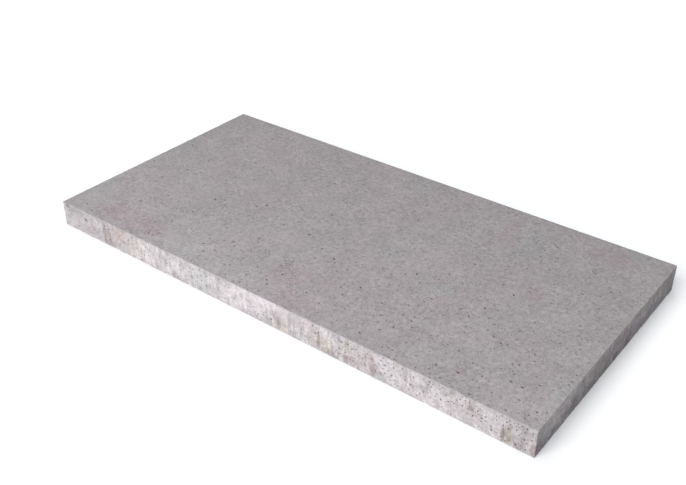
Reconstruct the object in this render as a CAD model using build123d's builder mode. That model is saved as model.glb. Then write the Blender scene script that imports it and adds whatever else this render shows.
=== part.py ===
"""A concrete paving slab, lying face up on its bed.

The slab is one cast piece. It was poured face down into a tray mould, so the edge round its
wear face has the small radius of the mould's inside corner, its upright corners have a slightly
larger one, and the edge round its bed face, which was struck off level, is only just broken.

Frame: the origin is the centre of the bed face, +X runs along the length, +Y across the width
and +Z up to the wear face. All sizes are in millimetres.
"""

import os

from build123d import *

# Driving dimensions
length = 1000.0  # along X
width = 500.0  # along Y
thickness = 50.0  # bed face to wear face
corner_radius = 1.5  # the four upright edges
arris_radius = 1.0  # the edge round the wear face
bed_chamfer = 0.8  # the edge round the bed face

with BuildPart() as paving_slab:
    with BuildSketch(Plane.XY):
        RectangleRounded(length, width, corner_radius)
    extrude(amount=thickness)

    wear_face = paving_slab.faces().sort_by(Axis.Z)[-1]
    fillet(wear_face.edges(), arris_radius)

    bed_face = paving_slab.faces().sort_by(Axis.Z)[0]
    chamfer(bed_face.edges(), bed_chamfer)

paving_slab.part.label = "paving_slab"

os.makedirs("parts", exist_ok=True)
export_step(paving_slab.part, "parts/paving_slab.step")
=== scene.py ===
"""The looks of a concrete paving slab: its cast skin, its concrete and a plain studio round it.

The slab lies face up on its bed, with its length on X, its width on Y and the origin at the centre
of the bed face. The skin is one closed mesh. The wear face, the bed face and the four joint faces,
as one band, are charts that are laid out flat and then folded round the slab, and strips along the
edges join them. Air pits are dents in the charts, and the edges are worn and chipped. What is finer
than that is in the material. Lengths are in millimetres up to the mesh itself.
"""

import math
import random
from collections import namedtuple
from functools import partial

import bpy
import numpy as np
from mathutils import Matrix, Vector, noise
from mathutils.geometry import delaunay_2d_cdt


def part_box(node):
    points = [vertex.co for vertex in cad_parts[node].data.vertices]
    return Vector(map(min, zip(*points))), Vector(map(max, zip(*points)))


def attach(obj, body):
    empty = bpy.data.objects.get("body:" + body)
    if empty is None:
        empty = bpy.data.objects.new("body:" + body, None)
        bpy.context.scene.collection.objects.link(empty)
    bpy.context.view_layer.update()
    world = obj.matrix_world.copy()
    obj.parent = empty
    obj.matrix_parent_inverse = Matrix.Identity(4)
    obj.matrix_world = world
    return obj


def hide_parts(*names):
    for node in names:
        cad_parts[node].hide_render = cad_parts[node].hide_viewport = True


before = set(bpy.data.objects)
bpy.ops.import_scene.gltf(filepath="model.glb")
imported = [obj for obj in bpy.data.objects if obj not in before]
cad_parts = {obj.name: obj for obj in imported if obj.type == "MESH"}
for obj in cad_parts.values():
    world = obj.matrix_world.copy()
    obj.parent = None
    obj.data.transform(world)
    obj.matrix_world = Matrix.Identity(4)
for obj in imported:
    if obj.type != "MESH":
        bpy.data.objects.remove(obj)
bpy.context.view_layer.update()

MM = 0.001
LENGTH, WIDTH, THICKNESS = ((high - low) / MM for low, high in zip(*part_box("paving_slab")))
CORNER_RADIUS = 1.5  # the four upright edges
ARRIS_RADIUS = 1.0  # the edge round the wear face
BED_CHAMFER = 0.8  # the edge round the bed face
FRONT, RIGHT, BACK, LEFT = range(4)  # the joint faces, anticlockwise from above
SEED = 7

# How finely the skin is divided
RIM_STEP = 1.7  # along the outline
CORNER_STEPS = 6  # round each upright corner, an even number
HALF_CORNER = CORNER_STEPS // 2
ARRIS_STEPS = 4
WEAR_STEP = 9.0
JOINT_STEP = 4.6
BED_STEP = 12.0
GRID_JITTER = 0.33  # how far a grid's point may be out of line, in steps
RIM_BELT = 3.0  # from a broad face's rim to its first points
GRID_MARGIN = 2.7 * RIM_BELT  # from the rim to the grid

# A pit's rings: share of its radius, share of its depth
PIT_RINGS = ((1.25, 0.0), (1.0, 0.25), (0.75, 0.8))
SMALL_PIT_RINGS = ((1.2, 0.0), (0.85, 0.6))
SMALL_PIT = 0.95  # a pit under this radius has the fewer rings and sides
LARGE_PIT = 1.7  # a pit from this radius up has the most sides
PIT_RAGGED = (0.78, 1.12)  # how far a ring strays from its radius
PIT_REACH = PIT_RINGS[0][0] * PIT_RAGGED[1]
PIT_ROOM = 0.4  # the least sound concrete between two pits
GRID_ROOM = 0.8  # and between a pit and the points round it
PIT_SHADE_DEEPENS = 1.2  # how much faster the painted shade and dirt on a pit's wall grow than it falls

# How pits are strewn over a face: how many to each square metre, their radii, how strongly small
# ones outnumber large ones, their depth over their radius, and how long they may be for their width
Strewing = namedtuple("Strewing", "density smallest largest rarity shallow deep longest")
WEAR_PITS = Strewing(2950, 0.55, 2.1, 2.8, 0.9, 1.6, 1.6)
FRONT_PITS = Strewing(14000, 0.45, 1.8, 3.3, 0.8, 1.5, 2.4)
JOINT_PITS = Strewing(3500, 0.5, 2.0, 3.0, 0.9, 1.6, 1.8)
BED_PITS = Strewing(300, 0.9, 4.0, 2.0, 0.5, 0.9, 1.4)
PLACE_TRIES = 30  # how often a pit looks for room before it is left out
STREWN_SHADES = (0.45, 1.0)  # how dark the painted shade and dirt of strewn pits are
# How thickly the front face is pitted, by eighths from the left
FRONT_PITTING = (0.24, 0.28, 0.20, 0.18, 0.18, 1.15, 0.70, 0.85)
# How much more thickly the wear face is pitted in a belt along the front arris
ARRIS_PITTING = 0.35
ARRIS_PITTED_BELT = 14.0

NOTED_DEPTH = 1.4  # a noted pit's depth over its radius
NOTED_STRETCH = 1.15  # its length over its width, where its list doesn't give it
NOTED_TURN = 40  # degrees that it is then turned for each millimetre from the left end, for variety
# The wear face's plainest pits: from the left end, from the front edge, radius
NOTED_WEAR_PITS = [
    (804, 196, 2.3), (868, 134, 2.1), (852, 38, 2.2), (922, 67, 2.2), (941, 66, 2.1), (958, 84, 2.0),
    (943, 247, 2.1), (905, 103, 1.8), (981, 33, 2.0), (711, 103, 1.8), (672, 203, 1.2), (651, 197, 1.6),
    (661, 163, 1.6), (805, 137, 1.7), (811, 123, 1.5), (877, 138, 1.5), (231, 192, 1.4), (953, 223, 1.7),
    (946, 98, 1.5), (990, 137, 1.7), (992, 41, 1.6), (727, 295, 2.1), (478, 44, 2.4), (488, 72, 2.1),
    (386, 193, 2.2), (353, 96, 2.4), (316, 60, 2.3), (333, 42, 2.2), (194, 57, 2.0), (76, 184, 2.1),
    (868, 363, 2.0), (948, 305, 1.7), (718, 340, 1.8), (879, 365, 1.5), (839, 280, 1.8), (633, 380, 1.6),
    (611, 57, 1.5), (741, 268, 1.3), (747, 262, 1.3), (572, 300, 1.4), (586, 308, 1.3), (648, 150, 1.3),
    (666, 152, 1.4), (347, 55, 1.9), (340, 50, 1.3), (500, 84, 1.4), (508, 72, 1.2), (964, 140, 1.5),
    (975, 118, 1.4), (928, 128, 1.5), (912, 150, 1.3), (938, 188, 1.6), (970, 180, 1.4), (897, 84, 1.4),
    (884, 52, 1.5), (972, 62, 1.4), (950, 40, 1.4), (912, 30, 1.4), (893, 190, 1.4), (962, 16, 1.3),
    (930, 216, 1.4), (908, 232, 1.4), (986, 218, 1.4), (990, 92, 1.4), (868, 92, 1.3), (850, 143, 1.6),
    (883, 157, 1.5), (894, 153, 1.4), (913, 88, 1.6), (919, 93, 1.2), (827, 81, 1.9), (740, 85, 1.6),
    (783, 32, 1.6), (838, 12, 1.6), (889, 8, 1.6), (744, 5, 1.4), (753, 5, 1.6), (762, 6, 1.6),
    (811, 186, 1.5), (646, 157, 1.7), (644, 193, 1.2), (338, 88, 1.6), (313, 78, 1.7), (416, 113, 1.5),
    (425, 110, 1.5), (431, 103, 1.4), (421, 104, 1.2), (391, 80, 1.5), (386, 86, 1.2), (397, 94, 1.3),
    (391, 34, 1.4), (399, 38, 1.3), (389, 121, 1.4), (470, 51, 1.4), (491, 174, 1.9), (329, 174, 1.9),
    (313, 178, 1.7), (101, 289, 2.0), (68, 284, 1.9), (14, 220, 1.6), (187, 250, 1.8), (195, 241, 1.5),
    (172, 319, 2.2), (191, 318, 1.8), (183, 340, 1.5), (195, 350, 1.5), (209, 335, 2.0), (128, 117, 1.9),
    (190, 115, 1.6), (78, 110, 1.5), (44, 24, 1.9), (86, 30, 1.9), (419, 328, 2.0), (465, 320, 1.6),
    (467, 352, 1.5), (262, 140, 1.5), (287, 110, 1.5), (303, 241, 1.1), (310, 236, 1.1), (316, 240, 1.1),
]
# Its long pits also have length over width, and the degrees they are turned from the front edge
LONG_WEAR_PITS = [
    (433, 274, 2.4, 2.0, 170), (315, 226, 2.2, 2.0, 155), (382, 131, 2.1, 1.8, 145),
    (527, 161, 1.9, 2.4, 130), (665, 210, 1.8, 2.4, 125), (444, 196, 2.3, 1.9, 140),
    (223, 184, 2.0, 1.8, 125), (684, 25, 1.9, 2.2, 155), (553, 56, 2.0, 1.8, 150),
    (795, 272, 1.5, 2.2, 95), (364, 371, 2.0, 1.9, 140), (752, 480, 1.4, 2.0, 120),
    (683, 191, 1.4, 2.2, 125), (412, 460, 1.6, 2.0, 60), (800, 405, 1.6, 1.6, 150),
    (568, 476, 1.5, 2.0, 165), (614, 121, 2.2, 1.6, 120), (717, 68, 1.7, 2.4, 125),
    (794, 163, 1.7, 2.0, 125), (920, 142, 1.5, 2.2, 125), (587, 46, 1.5, 2.0, 130),
    (603, 87, 1.5, 2.2, 130), (805, 83, 1.6, 1.8, 170), (817, 33, 1.7, 1.8, 130),
    (94, 236, 2.0, 2.0, 140), (23, 319, 1.9, 2.2, 130), (229, 336, 1.6, 2.0, 140),
    (120, 385, 1.7, 2.0, 130), (114, 94, 1.5, 2.4, 140), (221, 126, 1.6, 2.0, 130),
    (213, 24, 1.9, 1.6, 130), (70, 13, 1.8, 1.6, 140), (283, 212, 1.6, 2.2, 130),
    (469, 91, 1.8, 2.0, 165), (536, 152, 1.4, 1.8, 130),
]
# The front face's pits, all upright: from the left end, above the bed, radius, length over width
NOTED_FRONT_PITS = [
    (14, 45.5, 1.9, 1.0), (64, 32, 2.3, 1.2), (61, 43, 1.5, 1.1), (4, 37, 1.3, 1.0), (82, 25, 1.3, 1.3),
    (98, 7, 1.2, 2.2), (118, 40, 1.7, 1.2), (129, 14.5, 1.9, 0.9), (169, 46, 1.7, 0.9),
    (194, 44, 1.7, 1.0), (205, 39, 1.2, 1.2), (222, 17, 1.2, 1.3), (305, 39, 1.0, 1.4),
    (320, 4, 1.2, 1.0), (324, 31, 1.4, 1.2), (327, 16.5, 1.9, 0.9), (347, 39, 1.3, 2.4),
    (357, 30, 1.5, 1.0), (362, 43, 1.4, 1.0), (366, 33, 1.1, 2.4), (367, 24, 1.2, 2.4),
    (377, 18, 1.7, 1.5), (380, 38, 1.7, 1.0), (409, 45, 1.4, 1.2), (424, 28, 1.4, 1.0),
    (431, 37, 1.2, 1.2), (486, 45.5, 1.0, 1.4), (506, 16, 1.7, 1.1), (513, 39, 1.0, 1.2),
    (524, 15, 1.9, 1.0), (528, 31, 1.0, 1.6), (609, 31, 1.2, 1.4), (611, 43.5, 1.6, 1.3),
    (619, 42, 1.5, 1.2), (622, 34, 1.3, 2.0), (675, 22, 1.4, 1.2), (680, 40, 1.5, 1.0),
    (685, 45, 1.2, 1.2), (731, 26, 1.1, 1.6), (735, 21.5, 1.1, 1.0), (745, 46.5, 1.3, 1.0),
    (765, 46, 1.1, 1.4), (765, 37.5, 1.2, 2.2), (777, 30, 1.2, 1.1), (780, 43, 1.6, 1.2),
    (785, 31, 1.2, 1.2), (785, 25.5, 1.4, 1.2), (794, 36, 0.9, 1.6), (800, 38, 1.4, 1.6),
    (807, 8, 1.1, 1.2), (812, 14, 1.5, 1.1), (821, 40, 1.2, 1.3), (826, 38, 1.1, 1.0),
    (828, 44, 1.4, 1.3), (833, 42, 1.2, 1.2), (829, 28, 1.2, 1.4), (826, 22.5, 1.1, 1.4),
    (839, 23, 1.0, 1.8), (850, 9, 1.2, 1.4), (850, 46, 1.2, 1.1), (845, 40, 1.0, 1.8),
    (857, 35, 1.3, 1.7), (860, 25, 1.3, 1.1), (869, 26, 1.2, 1.2), (874, 35, 1.3, 1.2),
    (879, 39, 1.1, 1.4), (883, 30, 1.1, 1.8), (894, 41, 1.5, 1.1), (901, 21, 1.3, 1.8),
    (908, 34, 1.2, 1.4), (915, 24, 1.9, 0.9), (921, 30, 1.4, 1.2), (922, 23, 1.2, 1.1),
    (931, 18, 1.2, 1.1), (931, 11, 1.4, 1.6), (937, 41, 1.0, 2.6), (945, 46, 1.2, 1.1),
    (953, 39, 1.6, 1.2), (959, 38, 1.2, 1.1), (954, 4.5, 1.6, 1.0), (968, 40, 1.0, 1.2),
    (970, 45.5, 1.3, 1.2), (973, 41, 1.1, 1.1), (984, 44, 1.3, 1.6), (970, 7, 1.9, 1.2),
    (949, 31, 1.1, 1.8), (993, 40, 1.2, 1.8),
]

# The relief of each face: its mean depth, then its waves, with their lengths along the face and
# across or up it, their height and a seed
WEAR_RELIEF = (0.10, [(160, 160, 0.10, 3.1)])  # the mould's gentle waves
JOINT_RELIEF = (0.22, [(60, 40, 0.14, 6.3), (10, 14, 0.16, 2.7)])  # a slow swell, small lumps
BED_RELIEF = (0.45, [(90, 22, 0.28, 8.4), (14, 14, 0.25, 5.2)])  # drag waves, rough hollows
# How far in from its rim a face's relief comes in
BROAD_FADE = 12.0
JOINT_FADE = 4.0

# How battered each side's edges are
BATTERED = {FRONT: 1.0, RIGHT: 0.7, BACK: 0.35, LEFT: 0.5}
# Chips: how many to each metre of edge, half their length along it, and their depth over that
ARRIS_CHIPS = (70, (1.2, 4.2), (0.25, 0.5))
BED_CHIPS = (50, (2.0, 6.0), (0.15, 0.32))
CHIP_LEAN = (0.35, 0.65)  # which way chips face: 0 is straight up or down, 1 straight out
# How an edge crumbles: how far in from it, how deep where it is worst, and in what lumps
CRUMBLED_BELT = 3.5
CRUMBLED = 0.5
LARGE_CRUMB, SMALL_CRUMB = 7.0, 2.6
SMALL_CRUMBS_SHARE = 0.7
CRUMBLING = 1.8  # how readily it crumbles

# How thick the pale crust of lime is on each joint face
LIME = {FRONT: 1.0, RIGHT: 0.0, BACK: 0.55, LEFT: 0.75}

# Stretch is a pit's length over its width, turn the way its length runs, and shade how dark its painted
# shade and dirt are
Pit = namedtuple("Pit", "x y radius depth stretch turn shade")


# The outline of the slab

def lay_out_outline():
    """Stations round the slab, anticlockwise from the middle of its front left corner.

    A station stands on the rectangle through the corner centres, and the outline is one corner
    radius out from there along its normal. Also gives each station's distance along the outline,
    and the first station of each joint face.
    """
    half_x = LENGTH / 2 - CORNER_RADIUS
    half_y = WIDTH / 2 - CORNER_RADIUS
    centres = [(-half_x, -half_y), (half_x, -half_y), (half_x, half_y), (-half_x, half_y)]
    turn = math.radians(45) / HALF_CORNER
    cores, angles, firsts = [], [], []
    for side, start in enumerate(centres):
        end = centres[(side + 1) % 4]
        facing = math.radians(90 * side - 90)
        firsts.append(len(cores))
        steps = round(math.dist(start, end) / RIM_STEP)
        cores += [start] * HALF_CORNER
        cores += [tuple(Vector(start).lerp(Vector(end), k / steps)) for k in range(steps + 1)]
        cores += [end] * (HALF_CORNER - 1)
        angles += [facing - turn * k for k in range(HALF_CORNER, 0, -1)]
        angles += [facing] * (steps + 1)
        angles += [facing + turn * k for k in range(1, HALF_CORNER)]
    cores = np.array(cores)
    normals = np.column_stack([np.cos(angles), np.sin(angles)])
    rim = cores + CORNER_RADIUS * normals
    gaps = np.linalg.norm(np.roll(rim, -1, axis=0) - rim, axis=1)
    return cores, normals, np.concatenate([[0.0], np.cumsum(gaps)]), firsts + [len(cores)]


CORES, NORMALS, ALONG, FIRSTS = lay_out_outline()
STATIONS = len(CORES)


def on_outline(along):
    """Cores and normals at distances along the outline."""
    both = np.column_stack([CORES, NORMALS])
    both = np.vstack([both, both[:1]])
    found = np.stack([np.interp(along, ALONG, column) for column in both.T], -1)
    normal = found[..., 2:]
    return found[..., :2], normal / np.linalg.norm(normal, axis=-1, keepdims=True)


def side_at(along):
    """Which joint face a distance along the outline is on."""
    return np.searchsorted(ALONG[FIRSTS], along, side="right") - 1


def flat_run(side):
    """Where a joint face's flat part starts and ends along the outline."""
    return ALONG[FIRSTS[side] + HALF_CORNER], ALONG[FIRSTS[side + 1] - HALF_CORNER]


def plan_ring(inset):
    """The slab's plan, drawn in from the joint faces."""
    return CORES + NORMALS * (CORNER_RADIUS - inset)


def half_plan(inset):
    """Half the plan's length and width, drawn in from the joint faces."""
    return np.array([LENGTH, WIDTH]) / 2 - inset


def off_rim(places, inset):
    """How far places lie inside the plan that is drawn in so far."""
    return (half_plan(inset) - np.abs(places)).min(1)


# The pits

def crowding(x, y, patch, seed):
    """A slow random field, about 0 to 1, that says where pits gather."""
    return 0.55 + 0.7 * noise.noise(Vector((x / patch, y / patch, seed)))


def wear_crowding(x, y):
    """Pits gather in patches, with more towards the front right and most along the front arris."""
    along_arris = ARRIS_PITTING if y < ARRIS_PITTED_BELT - WIDTH / 2 else 0.0
    clusters = 1.25 * max(0.0, crowding(x, y, patch=32, seed=1.5)) ** 1.6
    return clusters * (0.52 + 0.8 * x / LENGTH - 0.3 * y / WIDTH + along_arris)


def front_crowding(along, height):
    """Pits gather in small, sharp patches, with many more towards the right."""
    eighth = int(len(FRONT_PITTING) * along / LENGTH)
    clusters = max(0.0, crowding(along, height, patch=15, seed=4.5)) ** 2
    return clusters * FRONT_PITTING[eighth]


joint_crowding = partial(crowding, patch=45, seed=7.5)
bed_crowding = partial(crowding, patch=70, seed=9.5)


def strew_pits(rng, kind, low, high, likely, noted=()):
    """Pits over a box, the largest first, that keep clear of each other and of the box's sides."""
    count = round(kind.density * (high[0] - low[0]) * (high[1] - low[1]) * MM * MM)
    spread = kind.largest - kind.smallest
    radii = [kind.smallest + spread * rng.random() ** kind.rarity for _ in range(count)]
    pits = list(noted)
    far_off = 1e9  # where a row of the table has no pit yet
    taken = np.full((len(pits) + count, 3), far_off)
    for k, pit in enumerate(pits):
        taken[k] = (pit.x, pit.y, PIT_REACH * pit.radius * pit.stretch)
    for radius in sorted(radii, reverse=True):
        stretch = 1 + (kind.longest - 1) * rng.random() ** 3
        reach = PIT_REACH * radius * stretch
        for _ in range(PLACE_TRIES):
            x = rng.uniform(low[0] + reach, high[0] - reach)
            y = rng.uniform(low[1] + reach, high[1] - reach)
            if rng.random() > likely(x, y):
                continue
            gaps = np.hypot(taken[:, 0] - x, taken[:, 1] - y) - taken[:, 2]
            if gaps.min() > reach + PIT_ROOM:
                taken[len(pits)] = (x, y, reach)
                depth = radius * rng.uniform(kind.shallow, kind.deep)
                turn = rng.uniform(0, math.pi)
                pits.append(Pit(x, y, radius, depth, stretch, turn, rng.uniform(*STREWN_SHADES)))
                break
    return pits


def noted_pit(x, y, radius, stretch, turn):
    return Pit(x, y, radius, NOTED_DEPTH * radius, stretch, turn, 1.0)


def noted_wear_pits():
    plain = [(x, y, radius, NOTED_STRETCH, NOTED_TURN * x % 180) for x, y, radius in NOTED_WEAR_PITS]
    return [noted_pit(x - LENGTH / 2, y - WIDTH / 2, radius, stretch, math.radians(turn))
            for x, y, radius, stretch, turn in plain + LONG_WEAR_PITS]


def noted_front_pits():
    left_end = flat_run(FRONT)[0] - CORNER_RADIUS
    upright = math.pi / 2
    return [noted_pit(left_end + x, z, radius, stretch, upright)
            for x, z, radius, stretch in NOTED_FRONT_PITS]


def pit_points(rng, pit):
    """A pit's rings and its deepest point: places, depths, how dark its painted shade and dirt is at each,
    and the rings' edges.
    """
    rings = SMALL_PIT_RINGS if pit.radius < SMALL_PIT else PIT_RINGS
    sides = 6 if pit.radius < SMALL_PIT else 8 if pit.radius < LARGE_PIT else 10
    start = rng.uniform(0, math.tau)
    ragged = [rng.uniform(*PIT_RAGGED) for _ in range(sides)]
    # A stretched pit gains more in length than it loses in width
    along = np.array([math.cos(pit.turn), math.sin(pit.turn)]) * pit.stretch ** 0.75
    across = np.array([-math.sin(pit.turn), math.cos(pit.turn)]) * pit.stretch ** -0.25
    places, depths, dark, edges = [], [], [], []
    for out, down in rings:
        first = len(places)
        for k in range(sides):
            angle = start + math.tau * k / sides
            reach = pit.radius * out * ragged[k]
            places.append((pit.x, pit.y) + reach * (math.cos(angle) * along + math.sin(angle) * across))
            edges.append((first + k, first + (k + 1) % sides))
        depths += [pit.depth * down] * sides
        # The deeper a point lies on a pit's wall, the darker its painted shade and dirt
        dark += [pit.shade * min(1.0, PIT_SHADE_DEEPENS * down)] * sides
    return places + [(pit.x, pit.y)], depths + [pit.depth], dark + [pit.shade], edges


def clear_of_pits(places, pits):
    """The places that no pit reaches."""
    keep = np.ones(len(places), bool)
    for pit in pits:
        reach = PIT_REACH * pit.radius * pit.stretch + GRID_ROOM
        keep &= np.hypot(places[:, 0] - pit.x, places[:, 1] - pit.y) > reach
    return places[keep]


def jittered_grid(rng, low, high, step):
    """Points about one step apart all over a box, each a little out of line."""
    columns, rows = (max(1, round((high[k] - low[k]) / step)) for k in (0, 1))
    places = []
    for i in range(columns + 1):
        for j in range(rows + 1):
            across = (i + rng.uniform(-GRID_JITTER, GRID_JITTER)) / columns
            up = (j + rng.uniform(-GRID_JITTER, GRID_JITTER)) / rows
            places.append((low[0] + (high[0] - low[0]) * across, low[1] + (high[1] - low[1]) * up))
    return np.array(places)


def relief_depths(relief, places):
    """How far a face's relief lies below its highest level at each place."""
    mean, waves = relief
    depths = np.full(len(places), mean)
    for length, width, height, seed in waves:
        field = [noise.noise(Vector((x / length, y / width, seed))) for x, y in places]
        depths += height * np.array(field)
    return depths


# The charts and the skin

class Chart:
    """A flat piece of the skin inside a closed border. Depths are below the face's highest level."""

    def __init__(self, border):
        count = len(border)
        self.places = list(border)
        self.depths = [0.0] * count
        self.dark = [0.0] * count
        self.edges = [(k, (k + 1) % count) for k in range(count)]

    def add(self, places, depths=None, dark=None, edges=()):
        first = len(self.places)
        self.places += list(places)
        self.depths += depths or [0.0] * len(places)
        self.dark += dark or [0.0] * len(places)
        self.edges += [(first + a, first + b) for a, b in edges]

    def closed(self):
        """Places, depths and darkness as arrays, and the triangles between them."""
        inside_border = 1
        tolerance = 1e-7
        points = [Vector(place) for place in self.places]
        found = delaunay_2d_cdt(points, self.edges, [], inside_border, tolerance)
        source = np.array([same[0] for same in found[3]])
        if len(source) != len(self.places):
            raise RuntimeError("two points of a chart met, or two of its edges crossed")
        triangles = source[np.array(found[2])]
        return np.array(self.places), np.array(self.depths), np.array(self.dark), triangles


class Skin:
    """The slab's whole surface as it grows."""

    TRAITS = ("pit", "joint", "bed", "lime")

    def __init__(self):
        self.points, self.traits, self.faces, self.maps = [], [], [], []
        self.count = 0

    def add_points(self, points, **traits):
        """Adds points and gives their numbers. A trait that isn't given is 0."""
        given = [np.broadcast_to(traits.get(name, 0.0), len(points)) for name in self.TRAITS]
        self.points.append(points)
        self.traits.append(np.column_stack(given))
        self.count += len(points)
        return np.arange(self.count - len(points), self.count)

    def add_faces(self, faces, places):
        """Adds triangles, with the map place of each of their corners."""
        self.faces.append(np.asarray(faces))
        self.maps.append(np.asarray(places))


def lime_at(normals):
    """The crust's thickness by the way the surface faces."""
    facing = {FRONT: -normals[:, 1], RIGHT: normals[:, 0], BACK: normals[:, 1], LEFT: -normals[:, 0]}
    return sum(LIME[side] * np.clip(facing[side], 0, 1) ** 2 for side in LIME)


# The map: a row for each long joint face, one for both short ones, and a block for each broad face
MAP_GAP = 0.006
MAP_SCALE = 0.925 / LENGTH
BED_SCALE = 0.6 * MAP_SCALE
JOINT_MARGIN = 0.04  # room under and over a joint face for its edges, over the slab's thickness
JOINT_SPAN = 1 + 2 * JOINT_MARGIN
JOINT_TALLER = 1.45  # how much taller than true a joint face is on the map
JOINT_ROW = JOINT_SPAN * THICKNESS * MAP_SCALE * JOINT_TALLER
ROW_OF_SIDE = {FRONT: 0, BACK: 1, RIGHT: 2, LEFT: 2}
FIRST_ROW = WIDTH * MAP_SCALE + 2 * MAP_GAP
HALF_WAY = 0.5  # where the left face starts, in the row that it shares with the right one


def map_broad(places, is_wear):
    scale, low = (MAP_SCALE, MAP_GAP) if is_wear else (BED_SCALE, FIRST_ROW + 3 * (JOINT_ROW + MAP_GAP))
    return (places + (LENGTH / 2, WIDTH / 2)) * scale + (MAP_GAP, low)


def map_joint(along, height, side):
    left = MAP_GAP + (HALF_WAY if side == LEFT else 0.0) - ALONG[FIRSTS[side]] * MAP_SCALE
    low = FIRST_ROW + ROW_OF_SIDE[side] * (JOINT_ROW + MAP_GAP)
    up = (height / THICKNESS + JOINT_MARGIN) / JOINT_SPAN * JOINT_ROW
    return np.stack(np.broadcast_arrays(along * MAP_SCALE + left, low + up), -1)


def add_ring(skin, inset, height, **traits):
    points = np.column_stack([plan_ring(inset), np.full(STATIONS, height)])
    return skin.add_points(points, lime=lime_at(NORMALS), **traits)


def add_strip(skin, upper, lower, upper_height, lower_height):
    """The faces between two rings. The heights are those on the map."""
    for side in range(4):
        k = np.arange(FIRSTS[side], FIRSTS[side + 1])
        after = (k + 1) % STATIONS
        corners = [(lower[k], ALONG[k], lower_height), (lower[after], ALONG[k + 1], lower_height),
                   (upper[after], ALONG[k + 1], upper_height), (upper[k], ALONG[k], upper_height)]
        for three in ((0, 1, 2), (0, 2, 3)):
            faces = np.stack([corners[c][0] for c in three], 1)
            maps = np.stack([map_joint(corners[c][1], corners[c][2], side) for c in three], 1)
            skin.add_faces(faces, maps)


def broad_chart(rng, inset, pits, step):
    """The wear face or the bed face, laid out flat inside the ring that its edge ends on."""
    chart = Chart(plan_ring(inset))
    for pit in pits:
        chart.add(*pit_points(rng, pit))
    # In the corners the belt turns inside out, and what comes back towards the rim is left out
    belt = plan_ring(inset + RIM_BELT)[::2]
    belt = belt[off_rim(belt, inset) > 0.9 * RIM_BELT]
    chart.add(clear_of_pits(belt, pits))
    inner = half_plan(inset) - GRID_MARGIN
    chart.add(clear_of_pits(jittered_grid(rng, -inner, inner, step), pits))
    return chart.closed()


def add_broad_face(skin, rng, rim, inset, pits, step, relief, is_wear):
    """The wear face or the bed face. Its first points are the ring's."""
    places, depths, dark, faces = broad_chart(rng, inset, pits, step)
    fade = np.clip(off_rim(places, inset) / BROAD_FADE, 0, 1)
    depths += fade * relief_depths(relief, places)
    height = THICKNESS - depths if is_wear else depths
    points = np.column_stack([places, height])
    added = slice(STATIONS, None)
    new = skin.add_points(points[added], pit=dark[added], bed=0.0 if is_wear else 1.0)
    if not is_wear:
        faces = faces[:, ::-1]
    skin.add_faces(np.concatenate([rim, new])[faces], map_broad(places, is_wear)[faces])


def joint_chart(rng, low, high, rows, pits):
    """The four joint faces, laid out flat as a band from the front left corner round to itself."""
    heights = np.linspace(low, high, rows + 1)[1:-1]

    def column(along):
        return np.column_stack([np.full(rows - 1, along), heights])

    def level(height):
        return np.column_stack([ALONG, np.full(STATIONS + 1, height)])

    chart = Chart(np.vstack([level(low), column(ALONG[-1]), level(high)[::-1], column(0.0)[::-1]]))
    for pit in pits:
        chart.add(*pit_points(rng, pit))
    for side in range(4):
        for station in range(FIRSTS[side] - HALF_CORNER, FIRSTS[side] + HALF_CORNER + 1):
            if station % STATIONS:
                chart.add(column(ALONG[station % STATIONS]))
        start, end = flat_run(side)
        corners = np.array([(start, low), (end, high)]) + [[JOINT_STEP / 2], [-JOINT_STEP / 2]]
        chart.add(clear_of_pits(jittered_grid(rng, *corners, JOINT_STEP), pits))
    return chart.closed()


def add_joint_band(skin, rng, upper, lower, low, high, pits):
    """The four joint faces, as a band that closes on itself at the front left corner."""
    rows = round((high - low) / JOINT_STEP)
    places, depths, dark, faces = joint_chart(rng, low, high, rows, pits)
    along, height = places.T
    fade = np.clip(np.minimum(height - low, high - height) / JOINT_FADE, 0, 1)
    depths += fade * relief_depths(JOINT_RELIEF, places)
    core, normal = on_outline(along)
    points = np.column_stack([core + normal * (CORNER_RADIUS - depths)[:, None], height])

    # The border runs along the lower ring, up the closing line, back along the upper ring and down
    index = np.empty(len(places), int)
    turn_up, turn_back = STATIONS + 1, STATIONS + rows
    turn_down = turn_back + STATIONS + 1
    rest = turn_down + rows - 1
    index[:turn_up] = np.append(lower, lower[0])
    index[turn_back:turn_down] = np.append(upper, upper[0])[::-1]
    new = np.arange(turn_down, len(places))
    index[new] = skin.add_points(points[new], pit=dark[new], joint=1.0, lime=lime_at(normal[new]))
    index[turn_up:turn_back] = index[turn_down:rest][::-1]

    side_of_face = side_at(along[faces].mean(1))
    for side in range(4):
        mine = faces[side_of_face == side]
        skin.add_faces(index[mine], map_joint(along[mine], height[mine], side))


def add_edges(skin):
    """The arris and the broken edge round the bed. Gives the rings that the faces end on."""
    step = math.pi / 2 / ARRIS_STEPS
    high = THICKNESS - ARRIS_RADIUS
    arris = []
    for k in range(ARRIS_STEPS + 1):
        inset = ARRIS_RADIUS * (1 - math.sin(k * step))
        height = high + ARRIS_RADIUS * math.cos(k * step)
        arris.append(add_ring(skin, inset, height, joint=k / ARRIS_STEPS))
    for k in range(ARRIS_STEPS):
        left = ARRIS_RADIUS * step * (ARRIS_STEPS - k)
        add_strip(skin, arris[k], arris[k + 1], high + left, high + left - ARRIS_RADIUS * step)
    half = BED_CHAMFER / 2
    foot = add_ring(skin, 0, BED_CHAMFER, joint=1.0)
    middle = add_ring(skin, half, half, joint=0.7, bed=0.3)
    bed = add_ring(skin, BED_CHAMFER, 0, bed=1.0)
    add_strip(skin, foot, middle, BED_CHAMFER, 0.0)
    add_strip(skin, middle, bed, 0.0, -BED_CHAMFER)
    return arris[0], arris[-1], foot, bed


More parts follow.
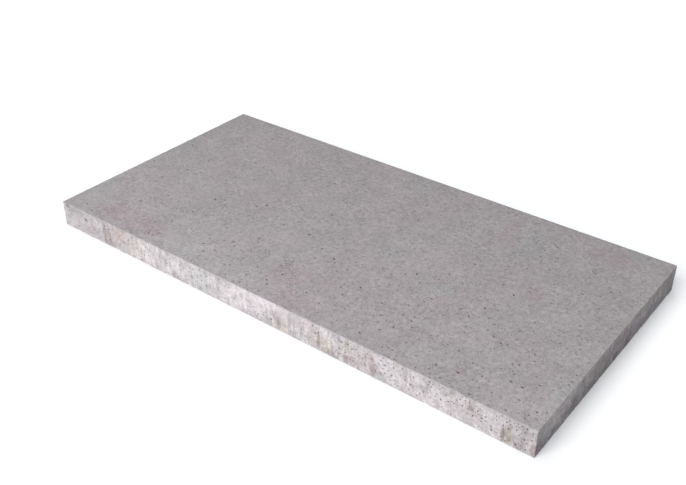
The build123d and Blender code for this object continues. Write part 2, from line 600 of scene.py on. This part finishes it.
def scoop(points, centre, radius, out):
    """Pushes the points inside a ball back to its far side, and says which they are."""
    offset = points - centre
    inside = (offset ** 2).sum(1) < radius ** 2
    along_out = offset[inside] @ out
    across = (offset[inside] ** 2).sum(1) - along_out ** 2
    points[inside] -= (np.sqrt(radius ** 2 - across) + along_out)[:, None] * out
    return inside


def knock_off_chips(points, rng, kind, height, outward):
    """Scoops balls out of an edge, and says which points they broke. Outward is 1 up and -1 down."""
    per_metre, lengths, bites = kind
    broken = np.zeros(len(points))
    for _ in range(round(per_metre * ALONG[-1] * MM)):
        along = rng.uniform(0, ALONG[-1])
        half_length = rng.uniform(*lengths) * BATTERED[side_at(along)]
        bite = half_length * rng.uniform(*bites)
        radius = (half_length ** 2 + bite ** 2) / (2 * bite)
        core, normal = on_outline(along)
        lean = rng.uniform(*CHIP_LEAN)
        out = np.array([*(normal * lean), outward * (1 - lean)])
        out /= np.linalg.norm(out)
        edge = np.array([*(core + normal * CORNER_RADIUS), height])
        broken[scoop(points, edge + out * (radius - bite), radius, out)] = 1.0
    return broken


def crumble(points, height, outward):
    """Wears an edge away unevenly, and says how much it wore each point, from 0 to 1."""
    edge_x, edge_y = (half_plan(0) - np.abs(points[:, :2])).T
    off_edge = np.minimum(edge_x, edge_y) + np.abs(points[:, 2] - height)
    worn = np.zeros(len(points))
    for k in np.flatnonzero(off_edge < CRUMBLED_BELT):
        here = Vector(points[k])
        lumps = noise.noise(here / LARGE_CRUMB) + SMALL_CRUMBS_SHARE * noise.noise(here / SMALL_CRUMB)
        worn[k] = min(1.0, max(0.0, CRUMBLING * lumps)) * (1 - off_edge[k] / CRUMBLED_BELT)
    on_long_side = edge_y < edge_x
    sign_x, sign_y = np.sign(points[:, :2]).T
    long_sides = np.where(sign_y < 0, BATTERED[FRONT], BATTERED[BACK])
    short_sides = np.where(sign_x > 0, BATTERED[RIGHT], BATTERED[LEFT])
    worn *= np.where(on_long_side, long_sides, short_sides)
    inward = np.column_stack([np.where(on_long_side, 0, -sign_x), np.where(on_long_side, -sign_y, 0),
                              np.full(len(points), -outward)])
    points += CRUMBLED * worn[:, None] * inward
    return worn


def strew_joint_pits(rng, low, high):
    """The pits of all four joint faces."""
    pits = []
    for side in range(4):
        start, end = flat_run(side)
        kind, likely, noted = JOINT_PITS, joint_crowding, ()
        if side == FRONT:
            kind, likely, noted = FRONT_PITS, front_crowding, noted_front_pits()
        pits += strew_pits(rng, kind, (start, low + PIT_ROOM), (end, high - PIT_ROOM), likely, noted)
    return pits


def make_skin():
    """The slab's whole surface: points, traits, how broken, triangles and their map places."""
    rng = random.Random(SEED)
    skin = Skin()
    wear_rim, joint_top, joint_foot, bed_rim = add_edges(skin)
    low, high = BED_CHAMFER, THICKNESS - ARRIS_RADIUS
    half = half_plan(ARRIS_RADIUS) - PIT_ROOM

    pits = strew_pits(rng, WEAR_PITS, -half, half, wear_crowding, noted_wear_pits())
    add_broad_face(skin, rng, wear_rim, ARRIS_RADIUS, pits, WEAR_STEP, WEAR_RELIEF, True)
    pits = strew_joint_pits(rng, low, high)
    add_joint_band(skin, rng, joint_top, joint_foot, low, high, pits)
    pits = strew_pits(rng, BED_PITS, -half, half, bed_crowding)
    add_broad_face(skin, rng, bed_rim, BED_CHAMFER, pits, BED_STEP, BED_RELIEF, False)

    points = np.vstack(skin.points)
    broken = np.zeros(len(points))
    for chips, height, outward in ((ARRIS_CHIPS, THICKNESS, 1), (BED_CHIPS, 0.0, -1)):
        broken = np.maximum(broken, crumble(points, height, outward))
        broken = np.maximum(broken, knock_off_chips(points, rng, chips, height, outward))
    return points, np.vstack(skin.traits), broken, np.vstack(skin.faces), np.concatenate(skin.maps)


def smooth_normals(points, faces):
    """Point normals in which large faces count for more, so that a pit doesn't tilt what is round it."""
    a, b, c = (points[faces[:, k]] for k in range(3))
    twice_area = np.cross(b - a, c - a)
    normals = np.zeros_like(points)
    for k in range(3):
        np.add.at(normals, faces[:, k], twice_area)
    return normals / np.linalg.norm(normals, axis=1, keepdims=True)


def put(name, data):
    """A new object in the scene."""
    thing = bpy.data.objects.new(name, data)
    bpy.context.scene.collection.objects.link(thing)
    return thing


def make_slab():
    points, traits, broken, faces, maps = make_skin()
    mesh = bpy.data.meshes.new("cast_slab")
    mesh.from_pydata((points * MM).tolist(), [], faces.tolist())
    mesh.shade_smooth()
    mesh.normals_split_custom_set_from_vertices(smooth_normals(points, faces).tolist())
    for name, values in zip((*Skin.TRAITS, "broken"), (*traits.T, broken)):
        trait = mesh.attributes.new(name, "FLOAT", "POINT")
        trait.data.foreach_set("value", values.astype(np.float32))
    layer = mesh.uv_layers.new(name="OFBake")
    layer.data.foreach_set("uv", maps.reshape(-1).astype(np.float32))
    return put("cast_slab", mesh)


# The concrete

class Graph:
    """Adds shader nodes to a material or a world, and wires them."""

    def __init__(self, owner):
        owner.use_nodes = True
        self.tree = owner.node_tree
        self.tree.nodes.clear()

    def set(self, socket, value):
        if isinstance(value, bpy.types.NodeSocket):
            self.tree.links.new(value, socket)
        elif socket.type == "RGBA":
            socket.default_value = (*value, 1.0)
        else:
            socket.default_value = value

    def node(self, kind, inputs, **settings):
        node = self.tree.nodes.new("ShaderNode" + kind)
        for name, value in settings.items():
            setattr(node, name, value)
        for key, value in inputs.items():
            self.set(node.inputs[key], value)
        return node

    def trait(self, name):
        return self.node("Attribute", {}, attribute_name=name).outputs["Fac"]

    def axes(self, vector):
        return self.node("SeparateXYZ", {0: vector}).outputs

    def channels(self, colour):
        return self.node("SeparateColor", {0: colour}).outputs

    def vector(self, operation, a, b):
        return self.node("VectorMath", {0: a, 1: b}, operation=operation).outputs[0]

    def scaled(self, vector, factor):
        """A place or a colour times a number."""
        return self.node("VectorMath", {0: vector, "Scale": factor}, operation="SCALE").outputs[0]

    def maths(self, operation, a, b):
        return self.node("Math", {0: a, 1: b}, operation=operation).outputs[0]

    def noise(self, at, size, detail=2.0, roughness=0.5, shift=0.0, output="Fac"):
        """Noise with features about size across. A shift picks another stretch of it."""
        inputs = {"Vector": self.vector("ADD", at, (shift, 0.7 * shift, 1.3 * shift)),
                  "Scale": 1 / size, "Detail": detail, "Roughness": roughness}
        return self.node("TexNoise", inputs).outputs[output]

    def cells(self, at, size, shift):
        """Distance to the nearest of many scattered points, in cell sizes, and that point's colour."""
        inputs = {"Vector": self.vector("ADD", at, (shift, shift, shift)), "Scale": 1 / size}
        found = self.node("TexVoronoi", inputs)
        return found.outputs["Distance"], found.outputs["Color"]

    def ramp(self, value, low, high, to_low=0.0, to_high=1.0):
        """A smooth step from one number to another."""
        inputs = {"Value": value, "From Min": low, "From Max": high, "To Min": to_low, "To Max": to_high}
        return self.node("MapRange", inputs, interpolation_type="SMOOTHSTEP").outputs[0]

    def mix(self, factor, a, b, how="MIX"):
        """Two colours mixed. On this node, 6, 7 and output 2 are the sockets for colours."""
        inputs = {0: factor, 6: a, 7: b}
        return self.node("Mix", inputs, data_type="RGBA", blend_type=how).outputs[2]

    def between(self, factor, a, b):
        """Two numbers mixed. On this node, 2, 3 and output 0 are the sockets for numbers."""
        return self.node("Mix", {0: factor, 2: a, 3: b}, data_type="FLOAT").outputs[0]

    def total(self, *parts):
        """The sum of some values, each given with its weight."""
        total = 0.0
        for value, weight in parts:
            step = self.node("Math", {0: value, 1: weight, 2: total}, operation="MULTIPLY_ADD")
            total = step.outputs[0]
        return total

    def shaken(self, at, reach, size, shift=0.0):
        """A place moved about by noise, so that what is drawn there has an uneven outline."""
        shake = self.vector("SUBTRACT", self.noise(at, size, 3, 0.6, shift, "Color"), (0.5, 0.5, 0.5))
        return self.vector("ADD", at, self.scaled(shake, 2 * reach))


# The concrete's own greys, each from dark to light
WEAR_GREYS = ((0.318, 0.293, 0.293), (0.325, 0.293, 0.296))
JOINT_GREYS = ((0.302, 0.279, 0.281), (0.357, 0.323, 0.322))
LIME_GREYS = ((0.485, 0.441, 0.445), (0.592, 0.546, 0.550))
BED_GREYS = ((0.30, 0.29, 0.285), (0.41, 0.40, 0.395))
# How much the sand's grain darkens and lightens the wear face, bare joint faces and lime
WEAR_GRAIN = (0.70, 1.30)
BARE_GRAIN = (0.61, 1.34)
LIME_GRAIN = (0.74, 1.23)
# What stands out in it, with how strongly: its palest sand, pores too fine to be dents, breaks and pits;
# the darkness of the pores and pits is painted shade and dirt
PALE_SAND = ((0.62, 0.60, 0.60), 0.30)
PORE_SHADE_AND_DIRT = ((0.12, 0.112, 0.11), 0.55)
BREAKS = ((0.36, 0.342, 0.34), 0.45)
PIT_SHADE_AND_DIRT = ((0.08, 0.075, 0.073), 0.74)

# What stains do to the concrete's colour; the grey tint also lays painted shade on the right face
TINTS = {
    "mauve": (1.0, 0.935, 0.955),
    "green": (0.97, 1.02, 1.0),
    "rose": (1.0, 0.945, 0.95),
    "brown": (0.86, 0.80, 0.79),
    "umber": (0.72, 0.675, 0.665),
    "beige": (0.98, 0.95, 0.875),
    "grey": (0.86, 0.865, 0.87),
    "dark": (0.62, 0.60, 0.60),
    "white": (1.14, 1.14, 1.15),
    "pale": (1.06, 1.06, 1.06),
    "blue": (0.92, 0.92, 0.98),
    "slate": (0.80, 0.815, 0.865),
    "plum": (0.74, 0.655, 0.69),
    "olive": (0.91, 0.905, 0.80),
}
# Soft clouds on the wear face, by tint: from the left end, from the front edge, half sizes, strength
WEAR_CLOUDS = {
    "pale": [(370, 20, 230, 75, 0.8), (345, 30, 60, 42, 0.6), (150, 30, 50, 40, 0.4),
        (650, 215, 60, 45, 0.6), (590, 285, 60, 40, 0.5), (985, 60, 26, 60, 0.6),
        (420, 450, 70, 45, 0.4)],
    "mauve": [(150, 35, 105, 38, 1.0), (500, 75, 50, 50, 1.0), (545, 20, 60, 28, 0.8),
        (720, 430, 16, 85, 0.8), (910, 455, 60, 30, 0.6), (850, 275, 22, 24, 1.0),
        (735, 172, 24, 18, 0.6), (415, 459, 16, 12, 0.7), (852, 37, 12, 12, 1.0), (562, 98, 14, 12, 0.7),
        (215, 34, 30, 24, 0.5)],
    "green": [(10, 90, 30, 60, 0.8), (305, 15, 34, 26, 0.6), (775, 405, 26, 62, 0.8),
        (500, 470, 60, 34, 0.5), (720, 190, 32, 26, 0.9), (590, 235, 40, 40, 0.6),
        (750, 106, 16, 14, 0.9), (580, 312, 24, 26, 0.7), (8, 295, 20, 60, 0.7), (988, 95, 24, 40, 0.8),
        (940, 484, 50, 16, 0.7)],
    "grey": [(60, 285, 90, 40, 0.3), (720, 285, 50, 40, 0.3), (220, 215, 60, 40, 0.25),
        (720, 25, 50, 35, 0.3)],
}
# Marks on the front face, by tint: from the left end, above the bed, half sizes, strength
FRONT_MARKS = {
    "grey": [(30, 42, 45, 16, 0.85), (60, 22, 75, 40, 1.0), (167, 23, 13, 9, 0.4), (330, 6, 60, 12, 0.3),
        (345, 40, 60, 14, 0.35), (372, 6, 18, 9, 0.85), (377, 18, 7, 9, 0.4), (408, 43, 8, 8, 0.3),
        (420, 42, 26, 9, 0.9), (477, 6, 22, 9, 0.85), (628, 12, 28, 12, 0.5), (680, 34, 9, 14, 0.4),
        (741, 7, 13, 10, 1.0), (785, 10, 18, 13, 0.5), (845, 44, 36, 12, 1.0), (845, 45, 26, 9, 0.4),
        (867, 42, 9, 12, 0.5), (943, 40, 6, 8, 0.8), (978, 25, 38, 50, 1.0), (975, 44, 34, 14, 0.7)],
    "dark": [(64, 32, 8, 8, 0.5), (14, 46, 9, 7, 0.5), (297, 9, 8, 13, 0.6), (521, 8, 8, 10, 0.65),
        (563, 22, 5, 32, 0.5), (622, 18, 4, 24, 0.85), (744, 15, 6, 4, 0.6), (949, 14, 4, 20, 0.9)],
    "plum": [(14, 46, 9, 7, 0.3), (150, 12, 18, 9, 0.4), (614, 34, 10, 10, 0.2), (728, 14, 7, 12, 0.25),
        (997, 12, 7, 16, 0.75)],
    "rose": [(82, 22, 13, 14, 1.0), (533, 22, 9, 24, 1.0), (606, 37, 24, 20, 0.9),
        (905, 18, 10, 14, 0.5)],
    "brown": [(103, 47, 12, 8, 0.6), (150, 30, 34, 30, 0.55), (688, 12, 14, 12, 1.0),
        (716, 22, 26, 30, 0.7), (891, 30, 15, 20, 0.65), (985, 22, 22, 34, 0.3)],
    "umber": [(117, 24, 7, 36, 0.95), (130, 24, 8, 22, 0.75), (128, 7, 22, 9, 0.85),
        (533, 20, 8, 26, 0.3), (540, 12, 6, 17, 0.75), (649, 18, 3.5, 18, 0.5), (643, 5, 24, 7, 0.7),
        (675, 12, 6, 15, 1.0), (728, 14, 7, 14, 0.7), (726, 35, 5, 9, 0.75), (797, 21, 6, 7, 0.5),
        (897, 33, 6, 7, 1.0), (957, 15, 12, 20, 0.5)],
    "beige": [(158, 36, 28, 20, 0.5), (202, 26, 26, 34, 0.55), (550, 13, 12, 15, 0.6),
        (628, 17, 28, 16, 0.9)],
    "mauve": [(167, 23, 13, 9, 0.5)],
    "green": [(168, 5, 14, 8, 1.0), (362, 26, 26, 34, 0.9), (372, 6, 18, 9, 1.0), (519, 8, 10, 9, 1.0),
        (586, 7, 14, 8, 1.0), (741, 7, 12, 9, 0.9), (943, 40, 5, 6, 0.8)],
    "white": [(222, 25, 44, 44, 0.8), (222, 10, 34, 14, 0.4), (285, 26, 36, 22, 0.5),
        (360, 26, 110, 40, 0.4), (470, 34, 56, 42, 1.0), (470, 42, 44, 16, 0.4), (518, 44, 34, 13, 1.0),
        (548, 40, 22, 16, 0.8), (586, 7, 14, 8, 0.6), (643, 27, 2.5, 15, 1.0), (731, 34, 2.5, 8, 0.5),
        (748, 40, 12, 14, 0.6), (782, 16, 36, 24, 0.5), (813, 16, 8, 4, 0.8), (840, 8, 44, 14, 0.55)],
    "blue": [(477, 6, 22, 9, 0.6), (662, 42, 6, 11, 0.9), (746, 40, 12, 12, 0.6)],
    "olive": [(680, 36, 12, 17, 0.7), (867, 40, 8, 14, 0.5), (957, 18, 12, 22, 0.8)],
}
# Marks on the right face, by tint: from the front end, above the bed, half sizes, strength
RIGHT_MARKS = {
    "white": [(55, 40, 80, 28, 0.95), (30, 24, 16, 14, 0.6), (72, 34, 18, 14, 0.7),
        (393, 34, 10, 9, 0.4)],
    # The two broad grey marks, over most of the face and at its back end, are painted shade; the smaller
    # grey marks are stains
    "grey": [(360, 30, 300, 80, 0.7), (470, 42, 60, 22, 0.9), (38, 5, 40, 10, 0.6),
        (183, 10, 20, 13, 0.5), (172, 38, 17, 15, 0.3), (264, 36, 24, 18, 0.6)],
    "green": [(70, 20, 110, 55, 0.25)],
    "blue": [(38, 5, 46, 10, 1.0), (183, 10, 20, 13, 1.0), (342, 18, 24, 16, 1.0), (388, 20, 17, 15, 0.9),
        (430, 9, 32, 11, 1.0)],
    "rose": [(70, 33, 13, 10, 1.0), (172, 38, 17, 15, 1.0), (264, 36, 24, 18, 1.0),
        (290, 32, 17, 24, 1.0), (353, 30, 15, 12, 0.8)],
    "plum": [(89, 14, 10, 10, 0.85), (120, 14, 12, 18, 1.0), (238, 28, 16, 16, 0.25),
        (262, 8, 15, 12, 0.95), (290, 32, 15, 20, 0.3), (309, 10, 18, 15, 0.95), (317, 26, 12, 14, 0.9)],
    "dark": [(106, 9, 11, 12, 0.65), (60, 12, 7, 12, 0.3), (140, 44, 12, 8, 0.35), (217, 8, 20, 12, 0.45),
        (482, 12, 16, 13, 0.2)],
    "slate": [(150, 14, 16, 15, 0.9), (374, 8, 16, 11, 0.7)],
    "brown": [(200, 34, 26, 22, 0.8), (456, 34, 24, 16, 0.4)],
    "olive": [(334, 38, 20, 13, 0.4)],
    "beige": [(418, 38, 20, 12, 1.0), (432, 25, 15, 10, 0.6)],
    "umber": [(416, 40, 14, 9, 0.3)],
}


def marked(g, colour, place, marks):
    """A colour under the marks on one face. In place, the first two axes run along and up that face,
    and the third leads away from it."""
    fade_away = 30.0
    core = 0.45  # how much of a mark has its full strength
    for tint in marks:
        for along, up, half_along, half_up, strength in marks[tint]:
            offset = g.vector("SUBTRACT", place, (along, up, 0.0))
            share = g.vector("MULTIPLY", offset, (1 / half_along, 1 / half_up, 1 / fade_away))
            far = g.node("VectorMath", {0: share}, operation="LENGTH").outputs["Value"]
            colour = g.mix(g.ramp(far, 1.0, core, 0.0, strength), colour, TINTS[tint], "MULTIPLY")
    return colour


def wear_colour(g, mm):
    """Mauve grey in soft clouds, with painted light falloff that makes it lighter towards the front left.
    """
    darker_right, darker_back = -0.03, -0.17
    colour = g.mix(g.ramp(g.noise(mm, 90), 0.36, 0.64), *WEAR_GREYS)
    x, y = g.axes(mm)[:2]
    # Painted light falloff: darker towards the right and the back
    painted_falloff = g.total((x, darker_right / LENGTH), (y, darker_back / WIDTH), (1.0, 1.0))
    clouds = g.ramp(g.noise(mm, 50, detail=0, shift=11), 0.3, 0.7, 0.97, 1.03)
    colour = g.scaled(colour, g.maths("MULTIPLY", clouds, painted_falloff))
    level = g.vector("MULTIPLY", g.shaken(mm, reach=9, size=30), (1, 1, 0))
    place = g.vector("ADD", level, (LENGTH / 2, WIDTH / 2, 0))
    return marked(g, colour, place, WEAR_CLOUDS)


def runs(g, mm, width, length, detail, roughness, shift):
    """Noise in streaks that run down the joint faces."""
    squeezed = g.vector("MULTIPLY", mm, (1 / width, 1 / width, 1 / length))
    return g.noise(squeezed, 1.0, detail, roughness, shift)


def joint_colour(g, mm, lime):
    """Blotted grey with painted contact shade that darkens it towards the bed, under a pale crust of lime
    that has run down in streaks.
    """
    grey = g.mix(g.ramp(g.noise(mm, 30, 4, 0.6, 15), 0.35, 0.65), *JOINT_GREYS)
    taller = g.vector("MULTIPLY", mm, (1, 1, 0.6))
    blots = g.ramp(g.noise(taller, 13, 3, 0.6, 61), 0.34, 0.66, 0.89, 1.10)
    # Painted contact shade: darker towards the bed
    painted_contact_shade = g.ramp(g.axes(mm)["Z"], 0, THICKNESS, 0.89, 1.03)
    grey = g.scaled(g.scaled(grey, blots), painted_contact_shade)
    crust = g.mix(g.ramp(g.noise(mm, 16, 4, 0.65, 21), 0.36, 0.62), *LIME_GREYS)
    broad = runs(g, mm, 7, 60, 3, 0.6, 5)
    narrow = runs(g, mm, 2.2, 30, 2, 0.5, 9)
    streaks = g.ramp(g.total((broad, 0.6), (narrow, 0.4)), 0.38, 0.58, 0.79, 1.07)
    where = g.ramp(g.noise(mm, 45, shift=51), 0.42, 0.60)
    return g.mix(lime, grey, g.scaled(crust, g.between(where, 1.0, streaks)))


def bed_colour(g, mm):
    """The rough underside."""
    return g.mix(g.ramp(g.noise(mm, 18, 5, 0.65, 31), 0.3, 0.7), *BED_GREYS)


def joint_marks(g, colour, mm):
    """The marks on the two joint faces that the photograph shows."""
    x, y, z = g.axes(g.shaken(mm, reach=2.2, size=7))
    from_left = g.maths("ADD", x, LENGTH / 2)
    from_front = g.maths("ADD", y, WIDTH / 2)
    past_right = g.maths("ADD", x, -LENGTH / 2)
    on_front = g.node("CombineXYZ", {0: from_left, 1: z, 2: from_front}).outputs[0]
    on_right = g.node("CombineXYZ", {0: from_front, 1: z, 2: past_right}).outputs[0]
    return marked(g, marked(g, colour, on_front, FRONT_MARKS), on_right, RIGHT_MARKS)


def sand(g, mm, ruffled, joint, lime):
    """The sand's grain: how much it lightens or darkens, and its height. Lime evens it out, and in
    some patches it hardly shows."""
    grit = g.channels(g.cells(ruffled, 2.6, 17)[1])["Blue"]
    fine = g.noise(mm, 1.5, 4, 0.6, 3)
    coarse = g.noise(mm, 7.0, 2, 0.6, 8)
    height = g.total((fine, 0.55), (coarse, 0.36), (grit, 0.12), (1.0, -0.015))
    on_wear, bare, limed = (g.ramp(height, 0.33, 0.67, *grain)
                            for grain in (WEAR_GRAIN, BARE_GRAIN, LIME_GRAIN))
    tone = g.between(joint, on_wear, g.between(lime, bare, limed))
    shows = g.ramp(g.noise(mm, 38, 2, 0.6, 91), 0.36, 0.64, 0.62, 1.0)
    return g.between(shows, 1.0, tone), height


def specks(g, ruffled, size, chance):
    """Scattered specks: 1 in a speck and 0 round it. A cell of this size has one by chance."""
    distance, colour = g.cells(ruffled, size, 5 * size)
    pick, share = g.channels(colour)[:2]
    radius = g.total((share, 0.13), (1.0, 0.07))
    near = g.ramp(g.maths("SUBTRACT", distance, radius), -0.03, 0.08, 1.0, 0.0)
    return g.maths("MULTIPLY", near, g.maths("LESS_THAN", pick, chance))


def specks_of_two_sizes(g, ruffled, small, large):
    """Small and large specks, each given as their cells' size and chance."""
    return g.maths("MAXIMUM", specks(g, ruffled, *small), specks(g, ruffled, *large))


def concrete():
    """One material for the whole casting. The mesh's traits say which face a point is on."""
    material = bpy.data.materials.new("cast_concrete")
    g = Graph(material)
    mm = g.scaled(g.node("TexCoord", {}).outputs["Object"], 1 / MM)
    ruffled = g.shaken(mm, reach=0.6, size=1.8, shift=70)
    pit, joint, bed, lime, broken = (g.trait(name) for name in (*Skin.TRAITS, "broken"))

    sides = joint_marks(g, joint_colour(g, mm, lime), mm)
    colour = g.mix(bed, g.mix(joint, wear_colour(g, mm), sides), bed_colour(g, mm))
    tone, grain = sand(g, mm, ruffled, joint, lime)
    colour = g.scaled(colour, tone)
    pale = specks_of_two_sizes(g, ruffled, (3.9, 0.10), (5.3, 0.05))
    # Pores: specks darkened with painted shade and dirt, for holes too fine to be dents
    pore = specks_of_two_sizes(g, ruffled, (3.2, g.between(joint, 0.20, 0.32)),
                               (6.0, g.between(joint, 0.08, 0.22)))
    # Pores and pits are darkened with painted shade and dirt
    for where, (spot_colour, strength) in ((pale, PALE_SAND), (pore, PORE_SHADE_AND_DIRT), (broken, BREAKS), (pit, PIT_SHADE_AND_DIRT)):
        colour = g.mix(g.maths("MULTIPLY", where, strength), colour, spot_colour)

    height = g.maths("SUBTRACT", g.maths("MULTIPLY", grain, 0.9), pore)
    bump = g.node("Bump", {"Height": height, "Distance": 0.4 * MM, "Strength": 0.8})
    roughness = g.ramp(grain, 0.3, 0.7, 0.80, 0.94)
    shader = g.node("BsdfPrincipled", {"Base Color": colour, "Roughness": roughness,
                                       "Specular IOR Level": 0.35, "Normal": bump.outputs[0]})
    g.node("OutputMaterial", {"Surface": shader.outputs[0]})
    return material


# The studio

CAMERA_AT = Vector((0.8445, -1.1197, 0.922))
CAMERA_LOOKS = Vector((-0.51613, 0.66649, -0.53796))
FOCAL_PIXELS = 921.6
PICTURE_WIDTH = 686
SENSOR = 36.0


def add_camera():
    """The photograph's camera, found from the slab's corners."""
    data = bpy.data.cameras.new("camera")
    data.sensor_fit = "HORIZONTAL"
    data.sensor_width = SENSOR
    data.lens = FOCAL_PIXELS * SENSOR / PICTURE_WIDTH
    camera = put("camera", data)
    camera.location = CAMERA_AT
    camera.rotation_euler = CAMERA_LOOKS.to_track_quat("-Z", "Y").to_euler()
    bpy.context.scene.camera = camera


def add_light(name, azimuth, elevation, level, spread):
    """A wide, distant softbox. It shines from the front at azimuth 0 and from the right at 90, and
    level is the brightness that it gives a white surface facing it."""
    data = bpy.data.lights.new(name, "SUN")
    data.energy = level * math.pi
    data.angle = math.radians(spread)
    a, e = math.radians(azimuth), math.radians(elevation)
    towards = Vector((math.sin(a) * math.cos(e), -math.cos(a) * math.cos(e), math.sin(e)))
    put(name, data).rotation_euler = (-towards).to_track_quat("-Z", "Y").to_euler()


def add_world(colour):
    """Dim, cool light from all round, in front of a white backdrop."""
    world = bpy.data.worlds.new("studio")
    bpy.context.scene.world = world
    g = Graph(world)
    fill = g.node("Background", {"Color": colour}).outputs[0]
    backdrop = g.node("Background", {"Color": (1, 1, 1)}).outputs[0]
    seen = g.node("LightPath", {}).outputs["Is Camera Ray"]
    shown = g.node("MixShader", {0: seen, 1: fill, 2: backdrop}).outputs[0]
    g.node("OutputWorld", {0: shown})


def add_floor(colour):
    reach = 30.0
    mesh = bpy.data.meshes.new("floor")
    corners = [(-reach, -reach, 0), (reach, -reach, 0), (reach, reach, 0), (-reach, reach, 0)]
    mesh.from_pydata(corners, [], [(0, 1, 2, 3)])
    material = bpy.data.materials.new("floor")
    g = Graph(material)
    paper = g.node("BsdfDiffuse", {"Color": colour})
    g.node("OutputMaterial", {"Surface": paper.outputs[0]})
    mesh.materials.append(material)
    put("floor", mesh)


slab = make_slab()
slab.data.materials.append(concrete())
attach(slab, "root")
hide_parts("paving_slab")

add_camera()
add_light("key", azimuth=-10, elevation=40, level=0.72, spread=40)
add_light("overhead", azimuth=0, elevation=88, level=0.45, spread=80)
add_world(colour=(0.19, 0.21, 0.235))
add_floor(colour=(0.93, 0.93, 0.93))
bpy.context.scene.view_settings.view_transform = "Standard"
